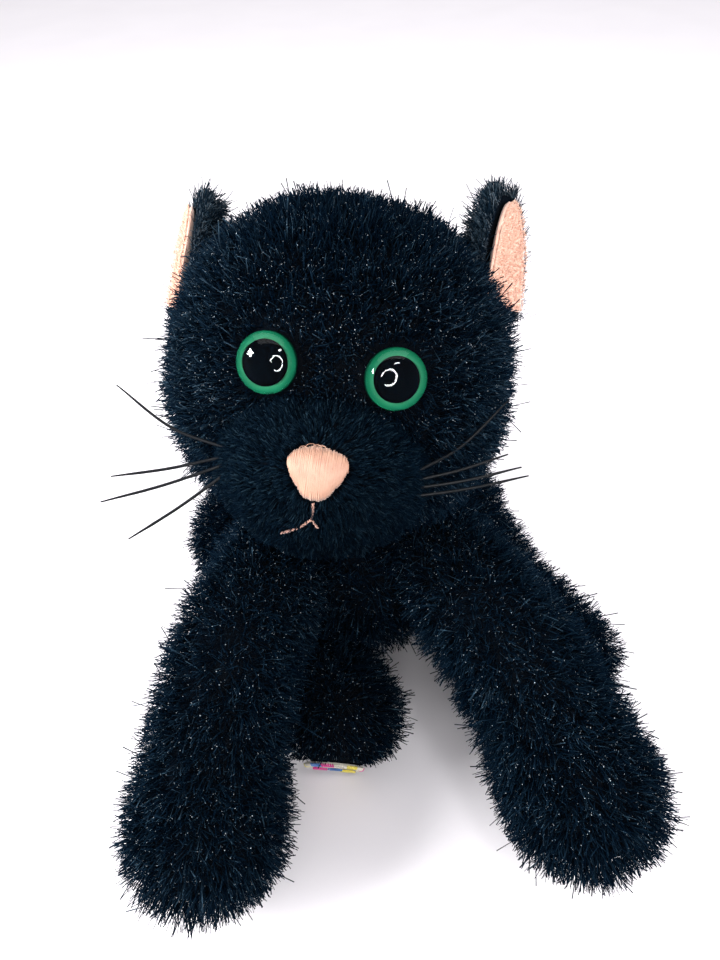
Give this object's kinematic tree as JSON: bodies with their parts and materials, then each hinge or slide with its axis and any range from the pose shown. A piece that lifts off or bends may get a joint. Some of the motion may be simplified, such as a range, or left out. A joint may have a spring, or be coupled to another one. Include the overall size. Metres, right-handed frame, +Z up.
{
  "type": "plush cat",
  "caption": "Small floppy plush cat with shaggy black pile, short-nap muzzle, domed eyes, stitched nose, whiskers, cupped ears, jointed seams and pellet-weighted paws.",
  "frame": {"origin": "on the surface that the toy stands on, under the middle of its outline", "axes": "+Z up, the face looks to -Y, +X is the cat's left side"},
  "size_m": [0.1128, 0.1582, 0.1116],
  "materials": {
    "black_pile": "long shaggy polyester pile with a cool sheen",
    "black_nap": "short dense nap",
    "stuffing": "loose polyester fibre",
    "pellets": "small smooth pellets",
    "pouch_cloth": "plain lining cloth",
    "peach_nap": "short brushed nap",
    "peach_thread": "satin-stitched embroidery thread",
    "clear_plastic": "clear polished dome",
    "green_paint": "painted ring under the dome",
    "black_plastic": "moulded, polished",
    "white_plastic": "moulded lock washer",
    "bristle": "stiff monofilament",
    "patch_cloth": "woven patch",
    "thread_pink": "embroidery thread",
    "thread_blue": "embroidery thread",
    "thread_yellow": "embroidery thread",
    "label_cloth": "blank satin ribbon"
  },
  "bodies": {
    "torso": {"torso_cover": "black_pile", "torso_stuffing": "stuffing", "pellet_pouch": "pouch_cloth", "pouch_pellets": "pellets", "care_label": "label_cloth"},
    "neck": {"neck_stuffing": "stuffing"},
    "head": {"head_cover": "black_pile", "head_stuffing": "stuffing", "muzzle_panel": "black_nap", "nose_embroidery": "peach_thread", "mouth_thread": "peach_thread", "eye_lens_right": "clear_plastic", "eye_iris_right": "green_paint", "eye_pupil_and_post_right": "black_plastic", "eye_washer_right": "white_plastic", "eye_lens_left": "clear_plastic", "eye_iris_left": "green_paint", "eye_pupil_and_post_left": "black_plastic", "eye_washer_left": "white_plastic", "whisker_right_1": "bristle", "whisker_right_2": "bristle", "whisker_right_3": "bristle", "whisker_right_4": "bristle", "whisker_left_1": "bristle", "whisker_left_2": "bristle", "whisker_left_3": "bristle", "whisker_left_4": "bristle"},
    "ear_right": {"ear_back_right": "black_pile", "ear_lining_right": "peach_nap"},
    "ear_left": {"ear_back_left": "black_pile", "ear_lining_left": "peach_nap"},
    "front_leg_right": {"front_leg_right_cover": "black_pile", "front_leg_right_stuffing": "stuffing", "front_leg_right_pellets": "pellets"},
    "front_leg_left": {"front_leg_left_cover": "black_pile", "front_leg_left_stuffing": "stuffing", "front_leg_left_pellets": "pellets"},
    "hind_leg_right": {"hind_leg_right_cover": "black_pile", "hind_leg_right_stuffing": "stuffing", "hind_leg_right_pellets": "pellets", "sole_patch": "patch_cloth", "sole_motif_pink": "thread_pink", "sole_motif_blue": "thread_blue", "sole_motif_yellow": "thread_yellow"},
    "hind_leg_left": {"hind_leg_left_cover": "black_pile", "hind_leg_left_stuffing": "stuffing", "hind_leg_left_pellets": "pellets"},
    "tail": {"tail_cover": "black_pile", "tail_stuffing": "stuffing"}
  },
  "joints": [
    {"name": "head_turn", "type": "hinge", "parent": "torso", "child": "neck", "pos_m": [-0.00713, 0.01602, 0.044], "axis": [0, 0, 1], "range_deg": [-20, 20]},
    {"name": "head_nod", "type": "hinge", "parent": "neck", "child": "head", "pos_m": [-0.00713, 0.01602, 0.044], "axis": [1, 0, 0], "range_deg": [-6, 5]},
    {"name": "ear_right_fold", "type": "hinge", "parent": "head", "child": "ear_right", "pos_m": [-0.04449, 0.02669, 0.08699], "axis": [0.3199, -0.8397, 0.4388], "range_deg": [0, 20]},
    {"name": "ear_left_fold", "type": "hinge", "parent": "head", "child": "ear_left", "pos_m": [0.02885, 0.02105, 0.08682], "axis": [0.5849, 0.6209, -0.5219], "range_deg": [0, 20]},
    {"name": "front_leg_right_swing", "type": "hinge", "parent": "torso", "child": "front_leg_right", "pos_m": [-0.02413, -0.00798, 0.0355], "axis": [-1, 0, 0], "range_deg": [0, 20]},
    {"name": "front_leg_left_swing", "type": "hinge", "parent": "torso", "child": "front_leg_left", "pos_m": [0.01337, -0.00798, 0.0355], "axis": [-1, 0, 0], "range_deg": [0, 20]},
    {"name": "hind_leg_right_swing", "type": "hinge", "parent": "torso", "child": "hind_leg_right", "pos_m": [-0.03513, 0.01502, 0.0195], "axis": [0, 0, 1], "range_deg": [-3, 5]},
    {"name": "hind_leg_left_swing", "type": "hinge", "parent": "torso", "child": "hind_leg_left", "pos_m": [0.02137, 0.02302, 0.017], "axis": [0, 0, 1], "range_deg": [-3, 18]},
    {"name": "tail_swing", "type": "hinge", "parent": "torso", "child": "tail", "pos_m": [-0.00713, 0.05602, 0.0155], "axis": [0, 0, 1], "range_deg": [-12, 12]}
  ]
}
